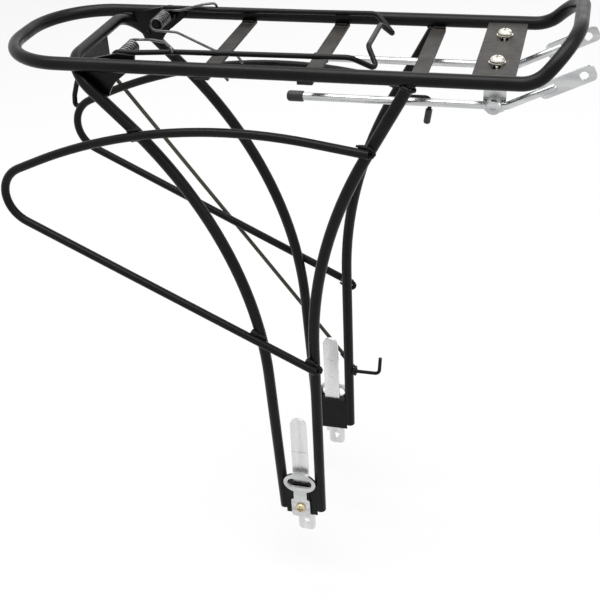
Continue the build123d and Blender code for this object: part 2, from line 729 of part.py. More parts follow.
def stay_cap(side):
    start = STAY_REAR_X - CAP_WALL_END
    cap = Pos(start, side * STAY_Y, ANCHOR_Z) * Rot(0, 90, 0) * Cylinder(
        CAP_D / 2, CAP_LENGTH, align=(Align.CENTER, Align.CENTER, Align.MIN)
    )
    cap = fillet(cap.edges().sort_by(Axis.X)[0], CAP_D * CAP_ROUND_SHARE)
    bore = Pos(STAY_REAR_X, side * STAY_Y, ANCHOR_Z) * Rot(0, 90, 0) * Cylinder(
        STAY_D / 2 + WELD_GAP, CAP_LENGTH, align=(Align.CENTER, Align.CENTER, Align.MIN)
    )
    return cap - bore


def lower_leg(foot_x, knee_x, knee_z, y, diameter):
    """The straight lower run of a leg, made longer at the bottom."""
    low_z = LEG_BOTTOM_Z - LEG_D
    points = [
        (leg_axis_x(foot_x, knee_x, knee_z, low_z), y, low_z),
        (leg_axis_x(foot_x, knee_x, knee_z, 2 * HOUSING_TOP_Z), y, 2 * HOUSING_TOP_Z),
    ]
    return rod(points, [], diameter)


def foot_housing(side):
    y = side * RAIL_HALF
    half = HOUSING_T / 2
    z_range = (HOUSING_BOTTOM_Z, HOUSING_TOP_Z)
    sleeve = block((REAR_FOOT_X, FRONT_FOOT_X), (y - half, y + half), z_range)
    grown = LEG_D + 2 * WELD_GAP
    sleeve = sleeve - lower_leg(REAR_FOOT_X, REAR_KNEE_X, REAR_KNEE_Z, y, grown)
    sleeve = sleeve - lower_leg(FRONT_FOOT_X, FRONT_KNEE_X, FRONT_KNEE_Z, y, grown)
    sleeve = sleeve.solids().sort_by(SortBy.VOLUME)[-1]
    pad_bottom = (HOUSING_BOTTOM_Z + HOUSING_TOP_Z - PAD_H) / 2
    pad = block(
        (FOOT_X - PAD_W / 2, FOOT_X + PAD_W / 2),
        (side * (RAIL_HALF + half), side * (RAIL_HALF + half + PAD_T)),
        (pad_bottom, pad_bottom + PAD_H),
    )
    guide_w = SLIDER_W / 2 + SLIDER_FIT
    guide_t = SLIDER_T / 2 + SLIDER_FIT
    guide = block(
        (FOOT_X - guide_w, FOOT_X + guide_w),
        (y - guide_t, y + guide_t),
        (HOUSING_BOTTOM_Z - CUT_OVER, HOUSING_TOP_Z + CUT_OVER),
    )
    hole = bar_along_y(BOLT_D / 2 + WELD_GAP, FOOT_X, SCREW_Z, y, side * (RING_Y + CUT_OVER))
    return sleeve + pad - guide - hole


def foot_slider(side):
    y = side * RAIL_HALF
    half_t = SLIDER_T / 2
    strip = block(
        (FOOT_X - SLIDER_W / 2, FOOT_X + SLIDER_W / 2),
        (y - half_t, y + half_t),
        (TAB_TOP_Z - TAB_OVERLAP, SLIDER_TOP_Z),
    )
    strip = fillet(strip.edges().filter_by(Axis.Y).group_by(Axis.Z)[-1], SLIDER_W * SLIDER_ROUND_SHARE)
    step = block(
        (FOOT_X - SLIDER_W, FOOT_X + SLIDER_W),
        (side * (RAIL_HALF + half_t - SLIDER_STEP), side * (RAIL_HALF + half_t + CUT_OVER)),
        (SLIDER_STEP_Z, SLIDER_TOP_Z + CUT_OVER),
    )
    tab = block((-TAB_W / 2, TAB_W / 2), (y - half_t, y + half_t), (TAB_BOTTOM_Z, TAB_TOP_Z))
    tab = fillet(tab.edges().filter_by(Axis.Y), TAB_CORNER_R)
    slider = strip - step + tab
    slider = slider - bar_along_y(EYELET_D / 2, 0, 0, y - SLIDER_T, y + SLIDER_T)
    for z in DIMPLE_Z:
        inner = side * (RAIL_HALF - half_t)
        slider = slider - bar_along_y(DIMPLE_D / 2, FOOT_X, z, inner - side, inner + side * DIMPLE_DEPTH)
    return slider


def strap_ring(side):
    loop = Pos(FOOT_X, RING_Z) * Ellipse(RING_W / 2, RING_H / 2)
    neck = Pos(FOOT_X, (RING_Z + RING_BODY_TOP_Z) / 2 - RING_H / 4) * Rectangle(RING_NECK_W, RING_H)
    body_h = RING_BODY_TOP_Z - RING_BODY_BOTTOM_Z
    body = Pos(FOOT_X, RING_BODY_BOTTOM_Z + body_h / 2) * RectangleRounded(RING_BODY_W, body_h, RING_BODY_R)
    hole = Pos(FOOT_X, RING_Z) * SlotOverall(RING_HOLE_W, RING_HOLE_H)
    screw_hole = Pos(FOOT_X, SCREW_Z) * Circle(BOLT_D / 2 + STAY_FIT)
    outline = loop + neck + body - hole - screw_hole
    low = side * RING_Y if side > 0 else side * RING_Y - RING_T
    face = Plane((0, low, 0), x_dir=(1, 0, 0), z_dir=(0, -1, 0)) * outline
    ring = extrude(face, amount=RING_T, dir=(0, 1, 0))
    return ring


def foot_screw(side):
    seat = RING_Y + RING_T + SLIDE_GAP
    head = pan_head(SCREW_HEAD_D, SCREW_HEAD_H) - cross_recess(SCREW_HEAD_H)
    reach = seat - RAIL_HALF - SLIDER_T / 2 - SLIDE_GAP
    shank = Cylinder(BOLT_D / 2, reach, align=(Align.CENTER, Align.CENTER, Align.MAX))
    return Pos(FOOT_X, side * seat, SCREW_Z) * Rot(-90 * side, 0, 0) * (head + shank)


def pump_hook(leg, reach, corner, tip):
    """A wire hook from the left front leg forward to a corner and on to its tip."""
    points = [(corner.X - reach, RAIL_HALF, corner.Z), corner, tip]
    wire = rod(points, [HOOK_BEND_R], HOOK_WIRE_D) - leg
    return wire.solids().sort_by(Axis.X)[-1]


def lower_pump_hook(leg):
    corner = Vector(front_leg_low_x(LOWER_HOOK_Z) + LOWER_HOOK_REACH, RAIL_HALF, LOWER_HOOK_Z)
    tip = corner + Vector(LOWER_HOOK_TIP[0], 0, LOWER_HOOK_TIP[1])
    return pump_hook(leg, LOWER_HOOK_REACH, corner, tip)


def upper_hook_ends():
    """Corner and free end of the upper hook's middle line."""
    corner = Vector(upper_leg_x(UPPER_HOOK_Z) + UPPER_HOOK_REACH, RAIL_HALF, UPPER_HOOK_Z)
    return corner, corner + Vector(UPPER_HOOK_TIP[0], 0, UPPER_HOOK_TIP[1])


def upper_pump_hook(leg):
    return pump_hook(leg, UPPER_HOOK_REACH, *upper_hook_ends())


def upper_hook_tip():
    """A soft tip on the upper hook's free end, closed at the bottom."""
    corner, tip = upper_hook_ends()
    up = (corner - tip).normalized()
    low = Plane(tip - up * HOOK_TIP_END, z_dir=up)
    sleeve = Cylinder(HOOK_TIP_D / 2, HOOK_TIP_LENGTH, align=(Align.CENTER, Align.CENTER, Align.MIN))
    sleeve = fillet(sleeve.edges().group_by(Axis.Z)[0], HOOK_TIP_D * HOOK_TIP_ROUND_SHARE)
    bore = Pos(0, 0, HOOK_TIP_END) * Cylinder(
        HOOK_WIRE_D / 2 + WELD_GAP, HOOK_TIP_LENGTH, align=(Align.CENTER, Align.CENTER, Align.MIN)
    )
    return low * (sleeve - bore)


def elastic_cord():
    length = (CORD_LOW - CORD_TOP).length
    print(f"elastic cord straight, {length:.1f} mm long")
    return Plane(CORD_TOP, z_dir=CORD_DOWN) * Cylinder(
        CORD_D / 2, length, align=(Align.CENTER, Align.CENTER, Align.MIN)
    )


def crimp(end, outward):
    """A closed sleeve over a cord end."""
    sleeve = Cylinder(CRIMP_D / 2, CRIMP_LENGTH, align=(Align.CENTER, Align.CENTER, Align.MAX))
    bore = Pos(0, 0, -CRIMP_END) * Cylinder(
        CORD_D / 2 + WELD_GAP, CRIMP_LENGTH, align=(Align.CENTER, Align.CENTER, Align.MAX)
    )
    return Plane(end + outward * CRIMP_END, z_dir=outward) * (sleeve - bore)


def cord_hook():
    """Wire hook whose end lies along the outside of the left hoop's rear bend."""
    start = CORD_TOP - CORD_DOWN * CRIMP_END
    turns = [from_hoop_rear(place) for place in CORD_HOOK_TURNS]
    points = [start, start - CORD_DOWN * CORD_HOOK_LEAD, *turns, from_hoop_rear(CORD_HOOK_TIP)]
    wire = rod(points, list(CORD_HOOK_BENDS), CORD_HOOK_D)
    return wire + crimp(CORD_TOP, CORD_DOWN * -1)


def cord_ring():
    """A ring on the lower pump hook in front of the leg, with a lug to the cord's crimp."""
    ring_y = RAIL_HALF + CORD_RING_R - CORD_RING_WIRE / 2 - HOOK_WIRE_D / 2 - CORD_RING_PLAY
    ring_x = front_leg_low_x(LOWER_HOOK_Z) + LEG_R + CORD_RING_WIRE / 2 + CORD_RING_GAP
    ring = Pos(ring_x, ring_y, LOWER_HOOK_Z) * Rot(0, 90, 0) * Torus(CORD_RING_R, CORD_RING_WIRE / 2)
    lug_end = Vector(ring_x, ring_y + CORD_RING_R, LOWER_HOOK_Z)
    lug_start = CORD_LOW + CORD_DOWN * CORD_LUG_START
    lug = rod([lug_start, lug_end], [], CORD_RING_WIRE)
    return ring + lug + crimp(CORD_LOW, CORD_DOWN)


def build():
    parts = {"platform_hoop": platform_hoop(), "rear_leg_tube": rear_leg_tube()}
    strip_names = ("cross_strip_rear", "cross_strip_middle", "cross_strip_front")
    for index, name in enumerate(strip_names):
        parts[name] = cross_strip(index)
    parts["front_plate"] = front_plate()
    parts["lamp_plate"] = lamp_plate(parts["rear_leg_tube"])
    parts["clamp_frame"] = clamp_frame()
    for word, side in (("right", -1), ("left", 1)):
        parts[f"{word}_front_leg"] = front_leg(side)
        parts[f"{word}_side_hoop"] = side_hoop(side)
        parts[f"{word}_gusset"] = gusset(side, parts["rear_leg_tube"])
        parts[f"{word}_pivot_pin"] = pivot_pin(side)
        parts[f"{word}_clamp_spring"] = clamp_spring(side)
        parts[f"{word}_plate_bolt"] = plate_bolt(side)
        parts[f"{word}_plate_washer"] = plate_washer(side)
        parts[f"{word}_plate_nut"] = plate_nut(side)
        parts[f"{word}_stay_bracket"] = stay_bracket(side)
        parts[f"{word}_stay_anchor"] = stay_anchor(side)
        parts[f"{word}_anchor_washer"] = anchor_washer(side)
        parts[f"{word}_anchor_nut"] = anchor_nut(side)
        parts[f"{word}_stay"] = stay(side)
        parts[f"{word}_stay_cap"] = stay_cap(side)
        parts[f"{word}_foot_housing"] = foot_housing(side)
        parts[f"{word}_foot_slider"] = foot_slider(side)
        parts[f"{word}_strap_ring"] = strap_ring(side)
        parts[f"{word}_foot_screw"] = foot_screw(side)
    parts["lower_pump_hook"] = lower_pump_hook(parts["left_front_leg"])
    parts["upper_pump_hook"] = upper_pump_hook(parts["left_front_leg"])
    parts["upper_hook_tip"] = upper_hook_tip()
    parts["elastic_cord"] = elastic_cord()
    parts["cord_hook"] = cord_hook()
    parts["cord_ring"] = cord_ring()
    return parts


os.makedirs("parts", exist_ok=True)
for node, shape in build().items():
    shape.label = node
    export_step(shape, f"parts/{node}.step")
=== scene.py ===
import json
from math import acos, cos, pi, sin, tan

import bpy
from mathutils import Matrix, Vector, noise


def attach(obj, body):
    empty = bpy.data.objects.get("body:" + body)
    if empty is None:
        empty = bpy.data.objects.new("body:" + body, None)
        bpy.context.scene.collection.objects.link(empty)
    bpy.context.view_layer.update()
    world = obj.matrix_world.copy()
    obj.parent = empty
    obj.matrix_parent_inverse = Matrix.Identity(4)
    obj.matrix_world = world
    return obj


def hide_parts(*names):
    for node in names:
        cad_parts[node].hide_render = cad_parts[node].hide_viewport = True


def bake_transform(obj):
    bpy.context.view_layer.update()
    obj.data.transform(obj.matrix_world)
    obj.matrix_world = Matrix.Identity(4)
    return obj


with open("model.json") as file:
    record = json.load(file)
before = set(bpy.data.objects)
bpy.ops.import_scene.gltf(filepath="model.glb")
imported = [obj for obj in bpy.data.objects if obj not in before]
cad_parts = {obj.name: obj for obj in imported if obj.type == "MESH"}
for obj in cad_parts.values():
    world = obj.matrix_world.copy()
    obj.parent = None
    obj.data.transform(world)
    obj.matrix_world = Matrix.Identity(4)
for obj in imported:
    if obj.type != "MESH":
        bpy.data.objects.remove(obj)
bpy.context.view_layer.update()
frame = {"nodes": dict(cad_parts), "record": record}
NODES = frame["nodes"]
MM = 0.001

# Camera, fitted to the photographed rods
CAMERA_AT = (0.187434, -0.684216, 0.625749)
CAMERA_RIGHT = (0.967645, 0.247167, -0.050706)
CAMERA_UP = (-0.091258, 0.530200, 0.842947)
CAMERA_BACK = (0.235232, -0.811046, 0.535602)
CAMERA_LENS = 66.316
SENSOR_WIDTH = 36.0

# Floor below the feet at the end of their travel; part of it is white of its own
FLOOR_Z = -0.062
FLOOR_SIZE = 14.0
FLOOR_WHITE = 0.72

# Lamps: name, place, width and depth in metres, watts; all face the middle of the object
LAMPS = (
    ("key_softbox", (-0.1, -0.25, 2.1), 2.2, 1.3, 46),
    ("fill_softbox", (1.6, -0.6, 1.2), 1.2, 1.2, 5),
    ("back_softbox", (0.2, 1.8, 1.5), 1.6, 1.6, 7),
)
LAMP_TARGET = (0.0, 0.0, 0.2)
WORLD_STRENGTH = 0.32

# Clamp pivot and springs, millimetres as in the solid model
PIVOT_X = -110.0
PIVOT_Z = 378.6
EYE_R = 4.4
CLAMP_WIRE_D = 3.5
CLAMP_ARM_Y = 42.5
CLAMP_TAPER_X = -73.0
CLAMP_RISE = 1.4
SPRING_WIRE_D = 1.8
SPRING_R = 3.9
SPRING_TURNS = 6.5
SPRING_PITCH = 3.1
SPRING_OUTER_Y = 40.75
SPRING_LEG_GAP = 0.3
SPRING_LEG_BEND = 12.0
SPRING_HOOK_BEND = 2.9
SPRING_HOOK_DROP = 5.0
SPRING_HOOK_REACH = 0.5
SPRING_HOOK_SPREAD = 0.6
SPRING_TURN_IN = 8.0
SPRING_TURN_IN_SHARE = 0.72
SPRING_LEAD = 1.8
SPRING_LOW_RUN = 16.0
SPRING_HIGH_RUN = 11.0
SPRING_TAIL_X = 4.0
SPRING_TAIL_DROP = 4.5
LEFT_LEG_LEAN = -26.0
STRIP_REAR_X = -56.5
STRIP_FRONT_X = -46.5
STRIP_BOTTOM_Z = 370.45
TURN_STEPS = 24
BEND_STEP = 0.15
WIRE_SIDES = 14

# Elastic cord, millimetres
CORD_D = 3.2
CORD_TOP = (-172.63, 67.6, 324.5)
CORD_LOW = (8.68, 67.6, 73.5)
CORD_POINTS = 6

# Places where the rods are welded, millimetres
RAIL_Y = 55.0
RAIL_Z = 377.0
RAIL_R = 4.5
LEG_R = 4.0
HOOP_R = 3.0
CROSSINGS = (((-101.4, 331.1), (0.982, 0.191)), ((-25.9, 175.4), (0.891, -0.454)))
HOOP_ENDS = (((57.2, 328.3), (0.989, -0.148)), ((15.7, 154.2), (0.891, -0.454)))
FRONT_LEG_TOP = (81.2, 371.6)
CROSS_BAR_MEETS = (-139.6, 52.0, 373.5)
STRIP_X = (-51.5, 16.5, 84.5)
STRIP_HALF_W = 5.0
PLATE_X = (118.5, 144.5)
PLATE_UNDER_Z = 375.2
HOOK_BASES = ((16.6, 71.0), (57.0, 320.5))
HOOK_WIRE_R = 1.5
LUMPS = (((-25.9, 175.4), -8.5, -2.5), ((15.7, 154.2), -10.5, -3.5))
LUMP_RUN = (0.891, -0.454)

# Weld beads, millimetres: how far they stand off the rods, their radii and reach
SEAM_OUT = 0.2
BEAD_OFF = HOOP_R * 1.05
BEAD_STEP = 0.45
BEAD_SIDES = 10
BEAD_SWELL = 0.10
BEAD_TIP = 0.35
BEAD_TAPER = 4
RIPPLE_STEP = 1.7
RIPPLE_NOISE = 0.22
RIPPLE_SCALE = 0.35
RING_STEPS = 24
SEAM_BEAD_R = 1.7
SEAM_HALF = 4.5
HOOP_END_LOOP = ((-9, 1), (-1, 1), (2.2, 0.6), (3.0, 0), (2.2, -0.6), (-1, -1), (-9, -1))
LUMP_R = 2.9
LUMP_SWELL = 0.2
LEG_TOP_AXIS = (0.35, 0, 1)
LEG_TOP_OUT = 0.3
LEG_TOP_BEAD_R = 1.5
CROSS_BAR_HALF = 8
CROSS_BAR_IN = 1.6
CROSS_BAR_UP = (2.4, 1.2)
CROSS_BAR_BEAD_R = 1.8
STRIP_BEAD_OUT = 1.0
STRIP_BEAD_UP = 0.3
STRIP_BEAD_R = 1.2
PLATE_BEAD_IN = 0.2
PLATE_BEAD_RUN = (1, 10)
PLATE_BEAD_R = 1.3
HOOK_BEAD_OUT = 0.5
HOOK_BEAD_R = 1.6

# Usual spread of a noise field
FIELD_LOW = 0.3
FIELD_HIGH = 0.7

# How fine the finishes are: the larger, the finer
PAINT_CLOUD = 60
PAINT_WEAR = 240
PAINT_PEEL = 1100
PLATED_CLOUD = 160
PLATED_PATCHES = 420
PLATED_GRAIN = 1500
VINYL_CLOUD = 300
VINYL_WEAR = 700
VINYL_SKIN = 2200
BRAID_STRANDS = 190
BRAID_LEAN = 0.6
FLOOR_CLOUD = 3


def new_material(name):
    """A material with one principled shader."""
    material = bpy.data.materials.new(name)
    material.use_nodes = True
    tree = material.node_tree
    tree.nodes.clear()
    output = tree.nodes.new("ShaderNodeOutputMaterial")
    shader = tree.nodes.new("ShaderNodeBsdfPrincipled")
    tree.links.new(shader.outputs["BSDF"], output.inputs["Surface"])
    return material, tree, shader


def noise_field(tree, scale, detail, stretch=(1, 1, 1)):
    """Noise in object space, stretched along an axis where the finish has a grain."""
    place = tree.nodes.new("ShaderNodeTexCoord")
    mapping = tree.nodes.new("ShaderNodeMapping")
    mapping.inputs["Scale"].default_value = stretch
    field = tree.nodes.new("ShaderNodeTexNoise")
    field.inputs["Scale"].default_value = scale
    field.inputs["Detail"].default_value = detail
    tree.links.new(place.outputs["Object"], mapping.inputs["Vector"])
    tree.links.new(mapping.outputs["Vector"], field.inputs["Vector"])
    return field.outputs["Fac"]


def colour_range(tree, value, low, high, start=FIELD_LOW, end=FIELD_HIGH):
    """Colours between two values of a field."""
    ramp = tree.nodes.new("ShaderNodeValToRGB")
    ramp.color_ramp.elements[0].position = start
    ramp.color_ramp.elements[0].color = (*low, 1)
    ramp.color_ramp.elements[1].position = end
    ramp.color_ramp.elements[1].color = (*high, 1)
    tree.links.new(value, ramp.inputs["Fac"])
    return ramp.outputs["Color"]


def number_range(tree, value, low, high):
    """Numbers between two values of a field."""
    change = tree.nodes.new("ShaderNodeMapRange")
    change.inputs["From Min"].default_value = FIELD_LOW
    change.inputs["From Max"].default_value = FIELD_HIGH
    change.inputs["To Min"].default_value = low
    change.inputs["To Max"].default_value = high
    tree.links.new(value, change.inputs["Value"])
    return change.outputs["Result"]


def add_bump(tree, shader, height, strength, distance):
    """Fine relief of a finish; the distance is in metres."""
    bump = tree.nodes.new("ShaderNodeBump")
    bump.inputs["Strength"].default_value = strength
    bump.inputs["Distance"].default_value = distance
    tree.links.new(height, bump.inputs["Height"])
    tree.links.new(bump.outputs["Normal"], shader.inputs["Normal"])


def paint(name, dark, light, smooth, rough, gloss):
    """Powder coat: slightly uneven black with a fine orange peel."""
    material, tree, shader = new_material(name)
    cloud = noise_field(tree, PAINT_CLOUD, 4)
    tree.links.new(colour_range(tree, cloud, dark, light), shader.inputs["Base Color"])
    wear = noise_field(tree, PAINT_WEAR, 3)
    tree.links.new(number_range(tree, wear, smooth, rough), shader.inputs["Roughness"])
    shader.inputs["Specular IOR Level"].default_value = gloss
    add_bump(tree, shader, noise_field(tree, PAINT_PEEL, 2), 0.1, 0.0002)
    return material


def plated(name, dark, light, smooth, rough, stretch):
    """Plated metal with a faint grain and dull patches."""
    material, tree, shader = new_material(name)
    cloud = noise_field(tree, PLATED_CLOUD, 5, stretch)
    tree.links.new(colour_range(tree, cloud, dark, light), shader.inputs["Base Color"])
    patches = noise_field(tree, PLATED_PATCHES, 3)
    tree.links.new(number_range(tree, patches, smooth, rough), shader.inputs["Roughness"])
    shader.inputs["Metallic"].default_value = 1.0
    add_bump(tree, shader, noise_field(tree, PLATED_GRAIN, 2, stretch), 0.08, 0.0001)
    return material


def vinyl(name):
    """Soft black caps with a matt, slightly mottled skin."""
    material, tree, shader = new_material(name)
    cloud = noise_field(tree, VINYL_CLOUD, 3)
    black = colour_range(tree, cloud, (0.006, 0.006, 0.006), (0.016, 0.015, 0.014))
    tree.links.new(black, shader.inputs["Base Color"])
    wear = noise_field(tree, VINYL_WEAR, 2)
    tree.links.new(number_range(tree, wear, 0.42, 0.6), shader.inputs["Roughness"])
    add_bump(tree, shader, noise_field(tree, VINYL_SKIN, 3), 0.15, 0.0002)
    return material


def braid(name, along):
    """Woven cover of the elastic cord: two sets of strands that cross at a slant."""
    material, tree, shader = new_material(name)
    place = tree.nodes.new("ShaderNodeTexCoord")
    sets = []
    for lean in (BRAID_LEAN, -BRAID_LEAN):
        turn = Vector((0, 0, 1)).rotation_difference(along)
        turn = turn @ Matrix.Rotation(lean, 3, "X").to_quaternion()
        mapping = tree.nodes.new("ShaderNodeMapping")
        mapping.inputs["Rotation"].default_value = turn.inverted().to_euler()
        wave = tree.nodes.new("ShaderNodeTexWave")
        wave.bands_direction = "Z"
        wave.inputs["Scale"].default_value = BRAID_STRANDS
        wave.inputs["Distortion"].default_value = 1.2
        wave.inputs["Detail"].default_value = 1
        tree.links.new(place.outputs["Object"], mapping.inputs["Vector"])
        tree.links.new(mapping.outputs["Vector"], wave.inputs["Vector"])
        sets.append(wave.outputs["Fac"])
    weave = tree.nodes.new("ShaderNodeMath")
    weave.operation = "MULTIPLY"
    tree.links.new(sets[0], weave.inputs[0])
    tree.links.new(sets[1], weave.inputs[1])
    colour = colour_range(tree, weave.outputs[0], (0.018, 0.016, 0.010), (0.085, 0.078, 0.050), 0.05, 0.7)
    tree.links.new(colour, shader.inputs["Base Color"])
    shader.inputs["Roughness"].default_value = 0.75
    shader.inputs["Sheen Weight"].default_value = 0.2
    add_bump(tree, shader, weave.outputs[0], 0.5, 0.0003)
    return material


def seen_share(tree, share):
    """A number that holds where a surface is seen, directly or mirrored, and is nought for other rays."""
    path = tree.nodes.new("ShaderNodeLightPath")
    seen = path.outputs["Is Camera Ray"]
    for ray in ("Is Glossy Ray", "Is Transmission Ray"):
        either = tree.nodes.new("ShaderNodeMath")
        either.operation = "MAXIMUM"
        tree.links.new(seen, either.inputs[0])
        tree.links.new(path.outputs[ray], either.inputs[1])
        seen = either.outputs[0]
    scaled = tree.nodes.new("ShaderNodeMath")
    scaled.operation = "MULTIPLY"
    scaled.inputs[1].default_value = share
    tree.links.new(seen, scaled.inputs[0])
    return scaled.outputs[0]


def floor_material():
    """Pale, matt studio floor, partly white of its own where it is seen; it keeps a soft shadow."""
    material, tree, shader = new_material("studio_floor")
    cloud = noise_field(tree, FLOOR_CLOUD, 2)
    pale = colour_range(tree, cloud, (0.93, 0.93, 0.93), (0.95, 0.95, 0.95))
    tree.links.new(pale, shader.inputs["Base Color"])
    shader.inputs["Roughness"].default_value = 0.9
    shader.inputs["Specular IOR Level"].default_value = 0.1
    white = tree.nodes.new("ShaderNodeEmission")
    mix = tree.nodes.new("ShaderNodeMixShader")
    tree.links.new(seen_share(tree, FLOOR_WHITE), mix.inputs["Fac"])
    tree.links.new(shader.outputs["BSDF"], mix.inputs[1])
    tree.links.new(white.outputs["Emission"], mix.inputs[2])
    tree.links.new(mix.outputs["Shader"], tree.nodes["Material Output"].inputs["Surface"])
    return material


GRAIN_X = (0.15, 1, 1)
GRAIN_Z = (1, 1, 0.15)
EVEN = (1, 1, 1)
CORD_ALONG = (Vector(CORD_LOW) - Vector(CORD_TOP)).normalized()
MATERIALS = {
    "frame_paint": paint(
        "frame_paint", (0.0015, 0.0015, 0.0015), (0.005, 0.0048, 0.0046), 0.26, 0.38, 0.15
    ),
    # Same black powder coat as the frame, made about ten times lighter: the raised base colour is painted
    # reflection, standing in for the grey sheen that the flat tops show under the bright surroundings.
    "strip_steel": paint("strip_steel", (0.019, 0.017, 0.0155), (0.042, 0.038, 0.034), 0.42, 0.55, 0.15),
    "zinc": plated("zinc", (0.40, 0.405, 0.41), (0.65, 0.655, 0.66), 0.2, 0.36, GRAIN_X),
    "slider_steel": plated("slider_steel", (0.58, 0.58, 0.585), (0.78, 0.78, 0.78), 0.24, 0.38, GRAIN_Z),
    "nickel": plated("nickel", (0.62, 0.59, 0.52), (0.82, 0.79, 0.72), 0.16, 0.28, EVEN),
    "spring_steel": plated("spring_steel", (0.06, 0.06, 0.063), (0.15, 0.152, 0.155), 0.2, 0.34, EVEN),
    "black_plastic": vinyl("black_plastic"),
    "brass_screw": plated("brass_screw", (0.44, 0.36, 0.21), (0.66, 0.57, 0.38), 0.22, 0.34, EVEN),
    "cord_fabric": braid("cord_fabric", CORD_ALONG),
    "hook_wire": paint("hook_wire", (0.003, 0.003, 0.003), (0.008, 0.008, 0.008), 0.26, 0.38, 0.15),
}


def dress_nodes():
    """Gives each solid the material of its slot."""
    for row in frame["record"]["subparts"]:
        mesh = NODES[row["node"]].data
        mesh.materials.clear()
        mesh.materials.append(MATERIALS[row["material_slot"]])


def add_mesh(name, vertices, faces, slot_name):
    """A smooth piece with the material of a slot."""
    mesh = bpy.data.meshes.new(name)
    mesh.from_pydata(vertices, [], faces)
    mesh.polygons.foreach_set("use_smooth", [True] * len(mesh.polygons))
    mesh.materials.append(MATERIALS[slot_name])
    piece = bpy.data.objects.new(name, mesh)
    bpy.context.scene.collection.objects.link(piece)
    return piece


def rounded(points, radii):
    """Points along straight runs with rounded corners."""
    points = [Vector(p) for p in points]
    line = [points[0]]
    for i, radius in enumerate(radii, start=1):
        come = (points[i] - points[i - 1]).normalized()
        leave = (points[i + 1] - points[i]).normalized()
        turn = acos(max(-1.0, min(1.0, come.dot(leave))))
        reach = radius * tan(turn / 2)
        start = points[i] - come * reach
        inward = (leave - come * come.dot(leave)).normalized()
        count = max(3, int(turn / BEND_STEP))
        for k in range(count + 1):
            a = turn * k / count
            line.append(start + come * (radius * sin(a)) + inward * (radius * (1 - cos(a))))
    line.append(points[-1])
    return line


def skin(line, radii, sides):
    """Vertices and faces of a round skin along points, both in millimetres, with closed ends."""
    end = len(line) - 1
    headings = [(line[min(i + 1, end)] - line[max(i - 1, 0)]).normalized() for i in range(len(line))]
    across = headings[0].orthogonal().normalized()
    vertices = []
    for point, heading, radius in zip(line, headings, radii):
        across = (across - heading * across.dot(heading)).normalized()
        other = heading.cross(across)
        for k in range(sides):
            a = 2 * pi * k / sides
            vertices.append(point + (across * cos(a) + other * sin(a)) * radius)
    faces = []
    for i in range(end):
        for k in range(sides):
            near, far = i * sides, (i + 1) * sides
            faces.append((near + k, near + (k + 1) % sides, far + (k + 1) % sides, far + k))
    last = end * sides
    faces.append(tuple(range(sides - 1, -1, -1)))
    faces.append(tuple(range(last, last + sides)))
    return vertices, faces


def tube(name, line, radius, slot_name):
    """A round wire along points in millimetres."""
    vertices, faces = skin(line, [radius] * len(line), WIRE_SIDES)
    return add_mesh(name, [v * MM for v in vertices], faces, slot_name)


def even_points(line, step):
    """Points at even steps along a line."""
    ends = [0.0]
    for a, b in zip(line, line[1:]):
        ends.append(ends[-1] + (b - a).length)
    count = max(4, int(ends[-1] / step))
    spread = []
    leg = 0
    for i in range(count + 1):
        reach = ends[-1] * i / count
        while leg < len(line) - 2 and ends[leg + 1] < reach:
            leg += 1
        share = (reach - ends[leg]) / (ends[leg + 1] - ends[leg])
        spread.append(line[leg].lerp(line[leg + 1], share))
    return spread


def weld_bead(corners, radius, swell=BEAD_SWELL):
    """A rippled bead along corner points, thin at both ends."""
    line = even_points([Vector(c) for c in corners], BEAD_STEP)
    radii = []
    for i, point in enumerate(line):
        share = i / (len(line) - 1)
        taper = min(1.0, BEAD_TIP + BEAD_TAPER * min(share, 1 - share))
        ripple = 1 + swell * sin(RIPPLE_STEP * i) + RIPPLE_NOISE * noise.noise(point * RIPPLE_SCALE)
        radii.append(radius * taper * ripple)
    return skin(line, radii, BEAD_SIDES)


def ring_bead(centre, axis, ring_r, radius):
    """A rippled bead round a rod, where it meets another."""
    axis = Vector(axis).normalized()
    across = axis.orthogonal().normalized()
    other = axis.cross(across)
    centre = Vector(centre)
    corners = []
    for k in range(RING_STEPS + 1):
        a = 2 * pi * k / RING_STEPS
        corners.append(centre + (across * cos(a) + other * sin(a)) * ring_r)
    return weld_bead(corners, radius)


def hoop_welds(side):
    """Beads where a side hoop crosses or ends on the legs, with the lumps on its upper side."""
    seam_y = side * (RAIL_Y + LEG_R + SEAM_OUT)
    beads = []
    for (x, z), (run_x, run_z) in CROSSINGS:
        for edge in (-1, 1):
            off_x, off_z = -run_z * edge * BEAD_OFF, run_x * edge * BEAD_OFF
            edge_x, edge_z = x + off_x, z + off_z
            ends = [(edge_x + run_x * t, seam_y, edge_z + run_z * t) for t in (-SEAM_HALF, SEAM_HALF)]
            beads.append(weld_bead(ends, SEAM_BEAD_R))
    for (x, z), (run_x, run_z) in HOOP_ENDS:
        corners = []
        for along, edge in HOOP_END_LOOP:
            off = edge * BEAD_OFF
            corners.append((x + run_x * along - run_z * off, seam_y, z + run_z * along + run_x * off))
        beads.append(weld_bead(corners, SEAM_BEAD_R))
    run_x, run_z = LUMP_RUN
    for (x, z), *reach in LUMPS:
        top_x, top_z = x - run_z * HOOP_R, z + run_x * HOOP_R
        ends = [(top_x + run_x * t, seam_y, top_z + run_z * t) for t in reach]
        beads.append(weld_bead(ends, LUMP_R, LUMP_SWELL))
    return beads


